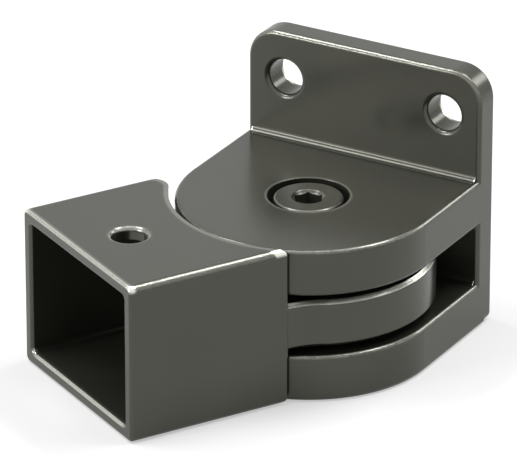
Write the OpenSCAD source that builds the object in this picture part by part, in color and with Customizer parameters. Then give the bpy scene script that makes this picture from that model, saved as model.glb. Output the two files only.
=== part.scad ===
// Swivel rail clip: a cast wall bracket with two round ears, and a cast rail socket whose lug
// swings between the ears on a clamped sleeve. Millimetres, +Z up, wall face in the plane Y = 0.
// The origin is on the wall face, midway between the centres of the two wall screw holes.

/* [Wall bracket] */
// Width of the wall plate and of the ears
bracket_w = 49; // [46:0.5:56]
// Height of the wall plate
plate_h = 51; // [48:0.5:70]
// Thickness of the wall plate
plate_t = 5.6; // [5:0.1:8]
// Radius of the plate's upper corners
plate_corner_r = 6; // [3:0.5:8]
// Radius of the plate's lower corners
plate_foot_r = 1.5; // [1.3:0.1:2.5]
// Thickness of each ear
ear_t = 9; // [8.8:0.1:12]
// Distance from the front of the wall plate to the pivot axis
reach = 20.6; // [20:0.2:26]
// Rounding of the bracket's outer edges
bracket_edge_r = 0.8; // [0.4:0.1:1.2]
// Fillet where the ears grow out of the wall plate
root_r = 1; // [0.5:0.1:1.4]

/* [Wall screw holes] */
// Diameter of the two wall screw holes
wall_hole_d = 7; // [4:0.1:8]
// Distance between the wall screw holes
wall_hole_spacing = 33.5; // [26:0.5:34]
// Height of the wall screw holes below the top of the plate
wall_hole_drop = 9; // [8:0.2:14]
// Rounding of the rims of the screw holes
hole_rim_r = 0.9; // [0.3:0.1:1]

/* [Rail socket] */
// Outer width of the socket
socket_w = 40; // [36:0.5:42]
// Outer height of the socket
socket_h = 30.8; // [30.4:0.1:34]
// Wall thickness of the socket
socket_wall = 2.5; // [2:0.1:3.5]
// Distance from the pivot axis to the mouth of the socket
mouth_distance = 48.5; // [44:0.5:80]
// Thickness of the curved wall between the rail pocket and the ears
end_wall = 3; // [2:0.1:5]
// Rounding in plan of the socket's rear corner on the side it is swung to
heel_r = 3.5; // [2:0.1:4]
// Rounding of the socket's long edges
socket_edge_r = 1.3; // [0.8:0.1:1.8]
// Rounding of the mouth rim, outside and inside
mouth_edge_r = 0.7; // [0.3:0.1:0.9]
// Radius of the rail pocket's long inner corners
pocket_corner_r = 0.8; // [0.6:0.1:1.5]
// Diameter of the rail screw hole in the top wall
rail_hole_d = 6.4; // [4:0.1:8]
// Distance from the mouth to the rail screw hole
rail_hole_inset = 11; // [9:0.5:16]
// Angle at which the socket stands, from straight out of the wall
socket_angle = 30; // [0:1:50]

/* [Lug] */
// Thickness of the lug between the ears
lug_t = 9.2; // [7:0.1:12]
// How far the rim of the lug stands back from the rim of the ears
lug_setback = 0.9; // [0.3:0.1:2]
// Bevel along the lug's edges
lug_bevel = 0.7; // [0.3:0.1:1.2]
// Radius of the hollow blend between the lug's round and the socket's sides
lug_blend_r = 14; // [10:0.5:14]
// Fillet between the curved end and the top of the lug
lug_top_fillet = 0.9; // [0.5:0.1:1]
// Fillet between the curved end and the underside of the lug
lug_bottom_fillet = 1.4; // [0.5:0.1:1.5]
// Space between the lug and each ear
lug_gap = 1.4; // [1:0.1:2]
// Running clearance between the socket's curved end and the ears
end_gap = 1.2; // [0.8:0.1:2]
// Running clearance between the lug and the pocket in the wall plate
pocket_gap = 0.7; // [0.4:0.1:1.2]

/* [Pivot hardware] */
// Thread diameter of the pivot screw
screw_d = 8; // [6:0.5:8]
// Diameter of the screw head
head_d = 13; // [11:0.1:14]
// Height of the screw head
head_h = 5; // [4:0.1:5.5]
// Rounding of the rims of the screw head
head_edge_r = 0.5; // [0.2:0.1:0.8]
// Chamfer at the tip of the screw
tip_chamfer = 1; // [0.5:0.1:1.5]
// How far the tip of the screw lies inside the lower ear
tip_inset = 0.1; // [0.1:0.1:1]
// Width across flats of the hex socket in the head
hex_key = 5; // [4:0.5:6]
// Depth of the hex socket
hex_depth = 3; // [2:0.1:3.5]
// Chamfer at the mouth of the hex socket
hex_chamfer = 0.5; // [0.2:0.1:0.8]
// How far the head lies below the top of the ear
head_recess = 0.3; // [0.1:0.1:1]
// Diameter of the counterbore round the head
counterbore_d = 15.2; // [14.5:0.1:17]
// Thickness of the disc spring as it is clamped
spring_t = 0.9; // [0.6:0.1:1.2]
// Diameter of the disc spring
spring_d = 14.6; // [13:0.1:15]
// Clearance round the screw, on the radius
screw_clearance = 0.1; // [0.05:0.01:0.2]
// Outer diameter of the pivot sleeve
sleeve_d = 12; // [11:0.1:14]
// Running clearance of the lug on the sleeve, on the radius
sleeve_clearance = 0.05; // [0.02:0.01:0.08]
// Outer diameter of the thrust washers
washer_d = 22; // [18:0.5:32]
// Clearance between a thrust washer and the lug
washer_clearance = 0.1; // [0.05:0.01:0.2]
// Width across flats of the lock nut
nut_af = 13; // [12:0.1:13.5]
// Height of the hexagonal part of the lock nut
nut_h = 4.3; // [3.5:0.1:5]
// Height of the whole lock nut with its collar
nut_total_h = 6; // [5.5:0.1:6.5]
// Diameter of the nut's collar
nut_collar_d = 12; // [11:0.1:12.5]
// How far the nut lies inside the lower ear
nut_recess = 0.3; // [0.1:0.1:0.5]
// Outer diameter of the locking ring in the collar
ring_d = 10.6; // [9.5:0.1:10.8]
// How far the locking ring lies inside the collar
ring_inset = 0.3; // [0.1:0.1:0.6]
// Clearance between the nut and its pocket, on each flat
nut_clearance = 0.1; // [0.05:0.01:0.2]

/* [Hidden] */
$fn = 96;

cast_grey = "#55554e";
socket_grey = "#5d5d56";
steel_grey = "#6b6b66";
bronze = "#a88450";
nylon_white = "#e4e2d8";

// Overlap of a cutting tool past the face that it opens
past = 1;
// Rim roundings stop this far short of the face, so that they cross it at a clean angle
rim_lift = 0.01;

ear_r = bracket_w / 2;
lug_r = ear_r - lug_setback;
end_r = ear_r + end_gap;
pivot_y = -(reach + plate_t);
wall_hole_z = plate_h - wall_hole_drop;

lower_ear_top = ear_t;
lug_z = lower_ear_top + lug_gap;
lug_top = lug_z + lug_t;
upper_ear_z = lug_top + lug_gap;
ears_top = upper_ear_z + ear_t;

counterbore_floor = ears_top - head_recess - head_h - spring_t;
head_z = counterbore_floor + spring_t;
nut_pocket_h = nut_total_h + nut_recess;
screw_hole_r = screw_d / 2 + screw_clearance;

// Centre of the blend beside the lug
blend_y = socket_w / 2 + lug_blend_r;
blend_x = sqrt(pow(lug_r + lug_blend_r, 2) - pow(blend_y, 2));
// The blend cuts a little deeper than tangent, so that its surfaces cross at a clean angle
blend_lift = 0.15;

inner_w = socket_w - 2 * socket_wall;
inner_h = socket_h - 2 * socket_wall;
sleeve_h = upper_ear_z - lower_ear_top;
washer_t = lug_gap - washer_clearance;

// Puts a piece that is drawn round the pivot axis in its place on the bracket
module at_pivot() {
    translate([0, pivot_y, -wall_hole_z]) children();
}

// Turns a piece drawn along +X, from the pivot axis, into the direction of the socket
module along_socket() {
    at_pivot() rotate([0, 0, -90 - socket_angle]) children();
}

// Rectangle from x0 to x1 and from 0 to h, its right-hand corners rounded with radius r
module soft_right_edge(x0, x1, h, r) {
    square_to = x1 - r;
    intersection() {
        union() {
            translate([x0 - past, 0]) square([square_to - x0 + past, h]);
            translate([square_to - r, r]) square([2 * r, h - 2 * r]);
            translate([square_to, r]) circle(r);
            translate([square_to, h - r]) circle(r);
        }
        translate([x0, -past]) square([x1 - x0 + past, h + 2 * past]);
    }
}

// Rectangle from x0, which may lie on either side of x1, to x1, bevelled by c at x1
module bevelled_edge(x0, x1, h, c) {
    x2 = x1 + (x0 < x1 ? -c : c);
    polygon([[x0, 0], [x2, 0], [x1, c], [x1, h - c], [x2, h], [x0, h]]);
}

// Rectangle of width w, centred on x, from 0 to h, all four corners rounded with radius r
module soft_section(w, h, r) {
    translate([-w / 2 + r, 0]) square([w - 2 * r, h]);
    translate([-w / 2, r]) square([w, h - 2 * r]);
    for (side = [-1, 1])
        for (level = [r, h - r])
            translate([side * (w / 2 - r), level]) circle(r);
}

// Cutting tool for a round hole of radius r through a wall from z = 0 to t, with rounded rims
module rimmed_hole(r, t, rim_r) {
    cut_r = r + rim_r;
    rotate_extrude()
        difference() {
            translate([0, -past]) square([cut_r, t + 2 * past]);
            translate([r, rim_r]) square([cut_r - r + past, t - 2 * rim_r]);
            for (level = [rim_r - rim_lift, t - rim_r + rim_lift])
                translate([cut_r, level]) circle(rim_r);
        }
}

// One ear, from z = 0 to ear_t: a half round about the pivot and a straight root to the plate
module ear() {
    rotate_extrude(angle = 180, start = 180) soft_right_edge(0, ear_r, ear_t, bracket_edge_r);
    rotate([90, 0, 180])
        linear_extrude(reach + plate_t / 2) soft_section(bracket_w, ear_t, bracket_edge_r);
}

// Concave fillet along X between a floor at z = 0 and the plate's front face
module root_fillet() {
    length = bracket_w - 2 * bracket_edge_r;
    translate([-length / 2, reach, 0])
        rotate([90, 0, 90])
            linear_extrude(length)
                difference() {
                    translate([-root_r, 0]) square(root_r);
                    translate([-root_r, root_r]) circle(root_r);
                }
}

// Section of the plate across its edge, lying from y = 0 to h, with its top left square
module plate_foot_section(h) {
    r = bracket_edge_r;
    translate([-plate_t, r]) square([plate_t, h - r]);
    translate([-plate_t + r, 0]) square([plate_t - 2 * r, h]);
    for (x = [-plate_t + r, -r])
        translate([x, r]) circle(r);
}

// One rounded corner of the plate, in the quarter turn from +X to +Y, with radius r
module plate_corner(r) {
    rotate_extrude(angle = 90) soft_right_edge(0, r, plate_t, bracket_edge_r);
}

// The plate lies in XY with its edges rounded by straight bars and quarter-turn corners
module wall_plate() {
    half_w = bracket_w / 2;
    translate([0, reach + plate_t, 0])
        rotate([90, 0, 0]) {
            translate([0, plate_h - plate_corner_r, 0])
                rotate([90, 0, 0])
                    linear_extrude(plate_h - plate_corner_r - plate_foot_r)
                        soft_section(bracket_w, plate_t, bracket_edge_r);
            translate([-(half_w - plate_corner_r), plate_h / 2, 0])
                rotate([90, 0, 90])
                    linear_extrude(bracket_w - 2 * plate_corner_r)
                        soft_section(plate_h, plate_t, bracket_edge_r);
            translate([-(half_w - plate_foot_r), 0, 0])
                rotate([90, 0, 90])
                    linear_extrude(bracket_w - 2 * plate_foot_r)
                        rotate([0, 0, -90]) plate_foot_section(plate_h / 2);
            for (side = [0, 1])
                mirror([side, 0, 0]) {
                    translate([half_w - plate_corner_r, plate_h - plate_corner_r, 0])
                        plate_corner(plate_corner_r);
                    translate([half_w - plate_foot_r, plate_foot_r, 0])
                        mirror([0, 1, 0]) plate_corner(plate_foot_r);
                }
        }
}

// Plate and ears in one casting
module wall_bracket() {
    color(cast_grey)
    at_pivot()
    difference() {
        union() {
            wall_plate();
            ear();
            translate([0, 0, upper_ear_z]) ear();
            for (level = [lower_ear_top, ears_top])
                translate([0, 0, level]) root_fillet();
            translate([0, 0, upper_ear_z]) mirror([0, 0, 1]) root_fillet();
        }
        // Pocket in the plate, which the back of the lug swings through
        translate([0, 0, lower_ear_top])
            cylinder(r = lug_r + pocket_gap, h = sleeve_h);
        // Counterbore, screw holes through both ears, nut pocket
        translate([0, 0, counterbore_floor]) cylinder(d = counterbore_d, h = ears_top);
        translate([0, 0, -past]) cylinder(r = screw_hole_r, h = ears_top + 2 * past);
        translate([0, 0, -past])
            rotate([0, 0, 30])
                cylinder(d = (nut_af + 2 * nut_clearance) / cos(30), h = nut_pocket_h + past, $fn = 6);
        for (side = [-1, 1])
            translate([side * wall_hole_spacing / 2, reach, plate_h - wall_hole_drop])
                rotate([-90, 0, 0]) rimmed_hole(wall_hole_d / 2, 2 * plate_t, hole_rim_r);
    }
}

// Waste outside a rounding of radius r: the corner of a face at u and the plane z = 0
module outer_waste(u, r) {
    translate([u - r + rim_lift, -r + rim_lift])
        difference() {
            square(r + past);
            circle(r);
        }
}

// The same for the rim of a hollow, whose wall is at u
module inner_waste(u, r) {
    translate([u + r - rim_lift, -r + rim_lift])
        difference() {
            translate([-(r + r / 2), 0]) square([r + r / 2, r + past]);
            circle(r);
        }
}

// Cutting tool that rounds the rim of a section of w by h, centred on Z, ending at z = 0
module rim_cutter(w, h, corner_r, r, inner) {
    for (turn = [0:3]) {
        half = (turn % 2 == 0 ? w : h) / 2;
        run = (turn % 2 == 0 ? h : w) - 2 * corner_r;
        rotate([0, 0, 90 * turn]) {
            translate([0, run / 2, 0])
                rotate([90, 0, 0])
                    linear_extrude(run) if (inner) inner_waste(half, r); else outer_waste(half, r);
            translate([half - corner_r, run / 2, 0])
                rotate_extrude(angle = 90)
                    if (inner) inner_waste(corner_r, r); else outer_waste(corner_r, r);
        }
    }
}

// Hollow for the rail: square to the mouth, ending in a curved wall round the ears
module rail_pocket() {
    difference() {
        translate([0, 0, socket_wall])
            rotate([90, 0, 90])
                linear_extrude(mouth_distance + past)
                    soft_section(inner_w, inner_h, pocket_corner_r);
        cylinder(r = end_r + end_wall, h = socket_h);
    }
}

// Room for an ear at the curved end, from z0 up, with a fillet of radius r at its foot
module ear_room(r) {
    rotate_extrude() {
        translate([0, r]) square([end_r, socket_h]);
        square([end_r - r, socket_h]);
        translate([end_r - r, r]) circle(r);
    }
}

// Waste outside the rounding of the rear corner at the side -Y, to cut through height h
module heel_waste(h) {
    cut_r = heel_r + rim_lift;
    corner = [sqrt(pow(end_r + heel_r, 2) - pow(socket_w / 2 - heel_r, 2)), socket_w / 2 - heel_r];
    inward = corner * (end_r - past) / norm(corner);
    mirror([0, 1, 0])
        linear_extrude(h)
            difference() {
                polygon([corner, [corner[0], socket_w], [0, socket_w], [0, inward[1]], inward]);
                translate(corner) circle(cut_r);
            }
}

// Lug: round the pivot, as wide as the socket at its root, with a hollow blend on each side
module lug() {
    cut_r = lug_blend_r + blend_lift;
    difference() {
        union() {
            rotate_extrude() bevelled_edge(0, lug_r, lug_t, lug_bevel);
            linear_extrude(lug_t)
                polygon([[0, 0], [blend_x, -blend_y], [blend_x + 1, -socket_w / 2],
                         [blend_x + 1, socket_w / 2], [blend_x, blend_y]]);
        }
        for (side = [-1, 1])
            translate([blend_x, side * blend_y, 0])
                rotate_extrude()
                    polygon([[0, -past], [cut_r + lug_bevel + past, -past], [cut_r, lug_bevel],
                             [cut_r, lug_t - lug_bevel], [cut_r + lug_bevel + past, lug_t + past],
                             [0, lug_t + past]]);
    }
}

// Casting that holds the rail: hollow block, curved end, lug with its bore
module rail_socket() {
    color(socket_grey)
    along_socket()
    difference() {
        union() {
            difference() {
                translate([blend_x, 0, 0])
                    rotate([90, 0, 90])
                        linear_extrude(mouth_distance - blend_x)
                            soft_section(socket_w, socket_h, socket_edge_r);
                rail_pocket();
                translate([0, 0, lug_top]) ear_room(lug_top_fillet);
                translate([0, 0, lug_z]) mirror([0, 0, 1]) ear_room(lug_bottom_fillet);
                translate([0, 0, lug_top + 2 * lug_top_fillet]) heel_waste(socket_h);
                translate([0, 0, lug_z - 2 * lug_bottom_fillet - socket_h]) heel_waste(socket_h);
                translate([mouth_distance, 0, socket_h / 2])
                    rotate([90, 0, 90]) {
                        rim_cutter(socket_w, socket_h, socket_edge_r, mouth_edge_r, false);
                        rim_cutter(inner_w, inner_h, pocket_corner_r, mouth_edge_r, true);
                    }
                translate([mouth_distance - rail_hole_inset, 0, socket_h - 2 * socket_wall])
                    rimmed_hole(rail_hole_d / 2, 2 * socket_wall, hole_rim_r);
            }
            translate([0, 0, lug_z]) lug();
        }
        translate([0, 0, lug_z - past])
            cylinder(r = sleeve_d / 2 + sleeve_clearance, h = lug_t + 2 * past);
    }
}

// Low-head cap screw that clamps the ears on the sleeve
module pivot_screw() {
    recess_r = hex_key / cos(30) / 2;
    color(steel_grey)
    at_pivot()
    difference() {
        union() {
            translate([0, 0, head_z])
                rotate_extrude() soft_right_edge(0, head_d / 2, head_h, head_edge_r);
            translate([0, 0, tip_inset])
                cylinder(r1 = screw_d / 2 - tip_chamfer, r2 = screw_d / 2, h = tip_chamfer);
            translate([0, 0, tip_inset + tip_chamfer])
                cylinder(d = screw_d, h = head_z - tip_inset);
        }
        translate([0, 0, head_z + head_h - hex_depth])
            cylinder(r = recess_r, h = head_h, $fn = 6);
        translate([0, 0, head_z + head_h - hex_chamfer])
            cylinder(r1 = recess_r - hex_chamfer / 2, r2 = recess_r + hex_chamfer / 2 + past,
                     h = hex_chamfer + past);
    }
}

// Disc spring under the head, which keeps the swivel stiff
module disc_spring() {
    color(steel_grey)
    at_pivot()
        translate([0, 0, counterbore_floor])
            difference() {
                cylinder(d = spring_d, h = spring_t);
                translate([0, 0, -past]) cylinder(r = screw_hole_r, h = spring_t + 2 * past);
            }
}

// Steel sleeve between the ears, on which the lug turns
module pivot_sleeve() {
    color(steel_grey)
    at_pivot()
        translate([0, 0, lower_ear_top])
            difference() {
                cylinder(d = sleeve_d, h = sleeve_h);
                translate([0, 0, -past]) cylinder(r = screw_hole_r, h = sleeve_h + 2 * past);
            }
}

// Flat washer round the sleeve, lying on an ear
module thrust_washer(level) {
    color(bronze)
    at_pivot()
        translate([0, 0, level])
            difference() {
                cylinder(d = washer_d, h = washer_t);
                translate([0, 0, -past])
                    cylinder(r = sleeve_d / 2 + screw_clearance, h = washer_t + 2 * past);
            }
}

module upper_thrust_washer() {
    thrust_washer(upper_ear_z - washer_t);
}

module lower_thrust_washer() {
    thrust_washer(lower_ear_top);
}

// Hexagonal lock nut with a round collar, its flats held by the pocket in the lower ear
module lock_nut() {
    color(steel_grey)
    at_pivot()
        translate([0, 0, nut_recess])
            difference() {
                union() {
                    translate([0, 0, nut_total_h - nut_h])
                        rotate([0, 0, 30]) cylinder(d = nut_af / cos(30), h = nut_h, $fn = 6);
                    cylinder(d = nut_collar_d, h = nut_total_h - nut_h);
                }
                translate([0, 0, -past])
                    cylinder(r = screw_d / 2 + screw_clearance / 2, h = nut_total_h + 2 * past);
                translate([0, 0, -past])
                    cylinder(d = ring_d, h = past + nut_total_h - nut_h);
            }
}

// Nylon ring inside the nut's collar
module nut_locking_ring() {
    color(nylon_white)
    at_pivot()
        translate([0, 0, nut_recess + ring_inset])
            difference() {
                cylinder(d = ring_d, h = nut_total_h - nut_h - ring_inset);
                translate([0, 0, -past])
                    cylinder(r = screw_d / 2 + screw_clearance / 2, h = nut_total_h);
            }
}

wall_bracket();
rail_socket();
pivot_screw();
disc_spring();
pivot_sleeve();
upper_thrust_washer();
lower_thrust_washer();
lock_nut();
nut_locking_ring();
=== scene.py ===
"""Finish of the swivel rail clip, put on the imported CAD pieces, with the floor, lamps and camera.

Lengths are metres. The origin is midway between the wall holes, on the face that lies on the wall.
X points right, Z up, and Y into the wall.
"""

import math

import bpy
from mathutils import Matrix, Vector


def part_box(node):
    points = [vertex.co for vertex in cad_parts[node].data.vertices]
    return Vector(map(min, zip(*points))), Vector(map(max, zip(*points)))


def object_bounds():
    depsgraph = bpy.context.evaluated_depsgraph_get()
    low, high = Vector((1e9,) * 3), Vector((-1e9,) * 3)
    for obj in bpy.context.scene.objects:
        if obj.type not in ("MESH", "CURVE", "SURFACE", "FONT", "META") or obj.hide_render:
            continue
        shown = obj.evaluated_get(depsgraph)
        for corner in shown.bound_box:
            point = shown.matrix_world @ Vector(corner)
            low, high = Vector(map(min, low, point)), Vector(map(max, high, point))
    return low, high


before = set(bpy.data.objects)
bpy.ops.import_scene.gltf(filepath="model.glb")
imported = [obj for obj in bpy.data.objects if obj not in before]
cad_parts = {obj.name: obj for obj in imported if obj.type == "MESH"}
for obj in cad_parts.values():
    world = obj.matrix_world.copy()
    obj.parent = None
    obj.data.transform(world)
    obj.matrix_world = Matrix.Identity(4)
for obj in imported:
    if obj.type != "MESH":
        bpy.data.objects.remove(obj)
lo0, hi0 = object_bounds()


# Wall bracket: the wall plate and its two ears are one zinc casting, tumbled smooth and plated a
# satin dark pewter. Two screws through the plate hold it to the wall.

MM = 0.001
GRAIN_SPACING = 0.22 * MM
GRAIN_SHARE = 0.1
NOISE_LOW, NOISE_HIGH = 0.3, 0.7  # nearly all of a noise lies between these
BROKEN_EDGE = 0.2 * MM
# These place the painted highlight along the upper edges: the first two by how convex the surface
# is, the rest by the height of the normal.
FLAT, ROUNDED = 0.87, 0.77  # share of the rays into the metal that stay in it
UPRIGHT, RISING = 0.02, 0.4  # height of the normal, 0 on an upright face and 1 on a level one
LEVEL, SLOPING = 0.99, 0.93  # the same
LEVEL_HIGHLIGHT = 0.2


def linear(hex_colour):
    """Turns an sRGB hex colour to linear RGBA. A channel c up to 0.04045 becomes c / 12.92, and one
    above it ((c + 0.055) / 1.055) to the power 2.4."""
    rgb = [int(hex_colour[i:i + 2], 16) / 255 for i in (1, 3, 5)]
    return [c / 12.92 if c <= 0.04045 else ((c + 0.055) / 1.055) ** 2.4 for c in rgb] + [1.0]


def add(tree, kind, settings=None, **sockets):
    """Adds a node with its settings and links. Each keyword names an input, with _ for a space, or
    i and its number, and gives it a plain value or the output that is linked to it."""
    made = tree.nodes.new(kind)
    for name, value in (settings or {}).items():
        setattr(made, name, value)
    for name, value in sockets.items():
        numbered = name[0] == "i" and name[1:].isdigit()
        target = made.inputs[int(name[1:]) if numbered else name.replace("_", " ")]
        if isinstance(value, bpy.types.NodeSocket):
            tree.links.new(value, target)
        else:
            target.default_value = value
    return made


def bare_material(name):
    """Makes a material with an empty node tree, and returns both."""
    made = bpy.data.materials.new(name)
    made.use_nodes = True
    made.node_tree.nodes.clear()
    return made, made.node_tree


def satin_metal(name, *, light, dark, edge_highlight, edge_reach, drift, metallic, roughness, grain_height):
    """Makes a satin metal. It gives the eye an even sheen that spreads each lamp to a soft patch,
    and thin bright lines along its rounded upper edges, partly lamps seen in the rounding and
    partly a painted highlight.

    The colour drifts between dark and light over about drift metres. As a painted highlight, the
    convex upper edges turn to the lighter colour edge, and the metal there turns fully metallic.
    The painted highlight starts where fewer than FLAT of the rays sent edge_reach metres into the
    metal stay in it, and is full where fewer than ROUNDED do. It also goes by the height of the
    normal, as
    light from above falls: slopes of upper edges get all of it, level faces LEVEL_HIGHLIGHT of it,
    and upright and lower faces none. The satin's grain is some 0.02 mm, too fine to show, so it is
    drawn
    coarser, with a wave every GRAIN_SPACING: as bumps of grain_height metres, and as a change of
    the roughness by GRAIN_SHARE either way. Sharp edges catch the light as if they were rounded by
    BROKEN_EDGE."""
    made, tree = bare_material(name)
    place = add(tree, "ShaderNodeTexCoord").outputs["Object"]
    slow = add(tree, "ShaderNodeTexNoise", Vector=place, Scale=1 / drift, Detail=3.0)
    grain = add(tree, "ShaderNodeTexNoise", Vector=place, Scale=1 / GRAIN_SPACING,
                Detail=2.0).outputs["Fac"]
    colour = add(tree, "ShaderNodeMix", {"data_type": "RGBA"}, i0=slow.outputs["Fac"],
                 i6=linear(dark), i7=linear(light))

    # Painted highlight: convex upper edges get a lighter colour and turn fully metallic, so that
    # they shine.
    kept_rays = add(tree, "ShaderNodeAmbientOcclusion",
                    {"inside": True, "only_local": True, "samples": 16}, Distance=edge_reach)
    convex = add(tree, "ShaderNodeMapRange", Value=kept_rays.outputs["AO"],
                 From_Min=FLAT, From_Max=ROUNDED)
    normal = add(tree, "ShaderNodeTexCoord").outputs["Normal"]
    height = add(tree, "ShaderNodeSeparateXYZ", Vector=normal).outputs["Z"]
    upper = add(tree, "ShaderNodeMapRange", Value=height, From_Min=UPRIGHT, From_Max=RISING)
    slope = add(tree, "ShaderNodeMapRange", Value=height, From_Min=LEVEL, From_Max=SLOPING,
                To_Min=LEVEL_HIGHLIGHT)
    highlight_mask = add(tree, "ShaderNodeMath", {"operation": "MULTIPLY"},
                 i0=convex.outputs[0], i1=upper.outputs[0])
    highlight_mask = add(tree, "ShaderNodeMath", {"operation": "MULTIPLY"},
                 i0=highlight_mask.outputs[0], i1=slope.outputs[0])
    # Here the painted highlight's colour and metallic are mixed in.
    highlight_colour = add(tree, "ShaderNodeMix", {"data_type": "RGBA"}, i0=highlight_mask.outputs[0],
                 i6=colour.outputs[2], i7=linear(edge_highlight))
    highlight_metallic = add(tree, "ShaderNodeMapRange", Value=highlight_mask.outputs[0], To_Min=metallic, To_Max=1.0)

    rough = add(tree, "ShaderNodeMapRange", Value=grain, From_Min=NOISE_LOW, From_Max=NOISE_HIGH,
                To_Min=roughness * (1 - GRAIN_SHARE), To_Max=roughness * (1 + GRAIN_SHARE))
    soft_edge = add(tree, "ShaderNodeBevel", {"samples": 6}, Radius=BROKEN_EDGE)
    bumps = add(tree, "ShaderNodeBump", Height=grain, Strength=1.0, Distance=grain_height,
                Normal=soft_edge.outputs[0])
    surface = add(tree, "ShaderNodeBsdfPrincipled", Base_Color=highlight_colour.outputs[2],
                  Metallic=highlight_metallic.outputs[0], Roughness=rough.outputs[0], Normal=bumps.outputs[0])
    add(tree, "ShaderNodeOutputMaterial", Surface=surface.outputs[0])
    return made


def dress(name, material):
    """Gives the CAD node of that name its material."""
    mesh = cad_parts[name].data
    mesh.materials.clear()
    mesh.materials.append(material)


# Pewter plating is a dark brownish grey that hardly changes over the width of an ear.
# The pale #e6e6dc is a painted highlight on the upper edges, not the plating's colour.
pewter = dict(light="#4f4f48", dark="#494942", edge_highlight="#e6e6dc", drift=16.5 * MM, metallic=0.6,
              roughness=0.22, grain_height=0.004 * MM)
dress("wall_bracket", satin_metal("satin pewter plating of the bracket", edge_reach=1.0 * MM,
                                  **pewter))


# Rail socket: a second zinc casting with the same plating, hollow for the end of a rectangular
# rail. Its lug turns between the bracket's ears, and a screw through the top hole holds the rail.
# Its long edges are rounder than the bracket's, so the painted highlight lines along them are
# wider.

dress("rail_socket", satin_metal("satin pewter plating of the socket", edge_reach=1.6 * MM,
                                 **pewter))


# Pivot screw and disc spring: an M8 low-head cap screw of steel, turned and plated, over a pressed
# spring in the counterbore. The screw clamps the ears on the sleeve, and the spring keeps it tight.
# The turned and plated steel is a little lighter than the castings, with a finer grain.

# The pale #c0c0b8 is a painted highlight on the upper edges of the steel pieces.
steel = satin_metal("satin plated steel", light="#5e5e57", dark="#585851", edge_highlight="#c0c0b8",
                    edge_reach=0.6 * MM, drift=5.0 * MM, metallic=0.7, roughness=0.24,
                    grain_height=0.001 * MM)
dress("pivot_screw", steel)
dress("disc_spring", steel)


# Pivot sleeve and lock nut: a ground steel tube that the lug turns on, and the plated nut that sits
# in the hexagonal pocket under the lower ear. Both have the screw's plated steel.

dress("pivot_sleeve", steel)
dress("lock_nut", steel)


# Thrust washers: two rings pressed from bronze powder and sintered, loose on the sleeve above and
# below the lug. The pores make the bronze dull, and its colour is uneven over a few millimetres.

# The lighter #b89766 is a painted highlight on the washers' upper edges.
bronze = satin_metal("sintered bronze", light="#a8824e", dark="#97733f", edge_highlight="#b89766",
                     edge_reach=0.6 * MM, drift=3.3 * MM, metallic=0.9, roughness=0.5,
                     grain_height=0.004 * MM)
dress("upper_thrust_washer", bronze)
dress("lower_thrust_washer", bronze)


# Locking ring: natural nylon, moulded and pressed into the nut's collar, where it grips the thread.
# Moulding leaves it milky and slightly dull, with clouds about a millimetre wide.

NYLON_CLOUD = 1.1 * MM

nylon, tree = bare_material("natural nylon")
place = add(tree, "ShaderNodeTexCoord").outputs["Object"]
cloud = add(tree, "ShaderNodeTexNoise", Vector=place, Scale=1 / NYLON_CLOUD, Detail=2.0)
colour = add(tree, "ShaderNodeMix", {"data_type": "RGBA"}, i0=cloud.outputs["Fac"],
             i6=linear("#dcdacf"), i7=linear("#e8e6dd"))
surface = add(tree, "ShaderNodeBsdfPrincipled", Base_Color=colour.outputs[2], Roughness=0.5)
add(tree, "ShaderNodeOutputMaterial", Surface=surface.outputs[0])
dress("nut_locking_ring", nylon)


# Floor and room: a matt pale floor just under the part, in a white room. Both look as white as
# paper, also in the metal. The floor keeps the part's shadow, and is clear from below.

FLOOR_GAP = 0.1 * MM
FLOOR_REACH = 3.0
FLOOR_GREY = 0.6
FLOOR_GLOW = 0.45
FAR_FROM, FAR_TO = 0.3, 1.2
FAR_GLOW = 0.65
ROOM_LIGHT = 0.2


def seen_directly(tree):
    """Adds nodes that give 1 for rays from the camera, from a gloss or through glass, and 0 for the
    light that falls on things."""
    ray = add(tree, "ShaderNodeLightPath")
    both = add(tree, "ShaderNodeMath", {"operation": "MAXIMUM"},
               i0=ray.outputs["Is Camera Ray"], i1=ray.outputs["Is Glossy Ray"])
    return add(tree, "ShaderNodeMath", {"operation": "MAXIMUM"},
               i0=both.outputs[0], i1=ray.outputs["Is Transmission Ray"]).outputs[0]


floor_z = min(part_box(name)[0].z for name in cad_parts) - FLOOR_GAP
corners = [(FLOOR_REACH * x, FLOOR_REACH * y, floor_z)
           for x, y in ((-1, -1), (1, -1), (1, 1), (-1, 1))]
floor_mesh = bpy.data.meshes.new("floor")
floor_mesh.from_pydata(corners, [], [(0, 1, 2, 3)])
floor = bpy.data.objects.new("floor", floor_mesh)
bpy.context.collection.objects.link(floor)

# The lamps light the floor only near the part, so for the camera it glows more from FAR_FROM on.
pale, tree = bare_material("pale floor")
matte = add(tree, "ShaderNodeBsdfDiffuse", Color=(FLOOR_GREY, FLOOR_GREY, FLOOR_GREY, 1))
near_glow = add(tree, "ShaderNodeMath", {"operation": "MULTIPLY"},
                i0=seen_directly(tree), i1=FLOOR_GLOW)
ground = add(tree, "ShaderNodeTexCoord").outputs["Object"]
away = add(tree, "ShaderNodeVectorMath", {"operation": "LENGTH"}, i0=ground)
far_glow = add(tree, "ShaderNodeMapRange", Value=away.outputs["Value"],
               From_Min=FAR_FROM, From_Max=FAR_TO, To_Max=FAR_GLOW)
to_camera = add(tree, "ShaderNodeLightPath").outputs["Is Camera Ray"]
glow = add(tree, "ShaderNodeMath", {"operation": "MULTIPLY_ADD"},
           i0=far_glow.outputs[0], i1=to_camera, i2=near_glow.outputs[0])
shine = add(tree, "ShaderNodeEmission", Strength=glow.outputs[0])
upper_side = add(tree, "ShaderNodeAddShader", i0=matte.outputs[0], i1=shine.outputs[0])
under_side = add(tree, "ShaderNodeBsdfTransparent")
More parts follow.
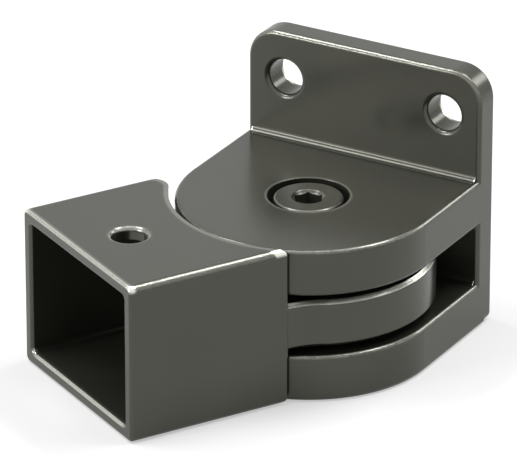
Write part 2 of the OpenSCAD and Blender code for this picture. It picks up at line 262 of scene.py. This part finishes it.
turned = add(tree, "ShaderNodeNewGeometry").outputs["Backfacing"]
sides = add(tree, "ShaderNodeMixShader", i0=turned, i1=upper_side.outputs[0],
            i2=under_side.outputs[0])
add(tree, "ShaderNodeOutputMaterial", Surface=sides.outputs[0])
floor_mesh.materials.append(pale)

world = bpy.data.worlds.new("room")
bpy.context.scene.world = world
world.use_nodes = True
tree = world.node_tree
strength = add(tree, "ShaderNodeMapRange", Value=seen_directly(tree), To_Min=ROOM_LIGHT, To_Max=1.0)
room = tree.nodes["Background"]
room.inputs["Color"].default_value = (1, 1, 1, 1)
tree.links.new(strength.outputs[0], room.inputs["Strength"])


# Lamps: soft boxes round the part, all turned to its middle. The two in front and behind light its
# sides, the overhead ones its level faces, and the long strip draws the lines along its edges.

def lamp(name, *, azimuth, elevation, distance, wide, tall, watts):
    """Adds a rectangular lamp of wide by tall metres, at a distance from the part's middle. Seen
    from there, azimuth is 0 in front and 90 to the right, and elevation 0 level, in degrees."""
    a, e = math.radians(azimuth), math.radians(elevation)
    toward = Vector((math.sin(a) * math.cos(e), -math.cos(a) * math.cos(e), math.sin(e)))
    made = bpy.data.objects.new(name, bpy.data.lights.new(name, "AREA"))
    made.data.shape = "RECTANGLE"
    made.data.size, made.data.size_y = wide, tall
    made.data.energy = watts
    made.location = (lo0 + hi0) / 2 + toward * distance
    made.rotation_euler = toward.to_track_quat("Z", "Y").to_euler()
    bpy.context.collection.objects.link(made)


lamp("front left", azimuth=-35, elevation=18, distance=0.9, wide=0.30, tall=0.30, watts=3.0)
lamp("left overhead", azimuth=-90, elevation=62, distance=0.9, wide=0.40, tall=0.15, watts=2.5)
lamp("right overhead", azimuth=150, elevation=62, distance=0.9, wide=0.40, tall=0.15, watts=2.5)
lamp("behind right", azimuth=150, elevation=27, distance=0.9, wide=0.25, tall=0.25, watts=1.2)
lamp("long overhead strip", azimuth=30, elevation=88, distance=0.8, wide=1.60, tall=0.10,
     watts=3.0)


# Camera: stands where the photograph was taken from, in front of the part, to its right and above.
# Two shifts move it sideways off the line to AIM, so that the part stands where the photograph has
# it in the picture.

YAW, ELEVATION = math.radians(29.81), math.radians(24.93)
DISTANCE = 1.0985
AIM = Vector((0, -26.2 * MM, -12.0 * MM))
SHIFT_LEFT, SHIFT_DOWN = 9.13 * MM, 6.77 * MM
LENS_MM, SENSOR_MM = 417.8, 36
NEAREST, FARTHEST = 0.01, 20

back = Vector((math.sin(YAW) * math.cos(ELEVATION), -math.cos(YAW) * math.cos(ELEVATION),
               math.sin(ELEVATION)))
right = Vector((math.cos(YAW), math.sin(YAW), 0))
up = back.cross(right)
camera = bpy.data.objects.new("camera", bpy.data.cameras.new("camera"))
bpy.context.collection.objects.link(camera)
camera.data.lens = LENS_MM
camera.data.sensor_width = SENSOR_MM
camera.data.clip_start = NEAREST
camera.data.clip_end = FARTHEST
camera.location = AIM + back * DISTANCE - right * SHIFT_LEFT - up * SHIFT_DOWN
camera.rotation_mode = "QUATERNION"
camera.rotation_quaternion = (-back).to_track_quat("-Z", "Y")
bpy.context.scene.camera = camera
bpy.context.scene.view_settings.view_transform = "Standard"
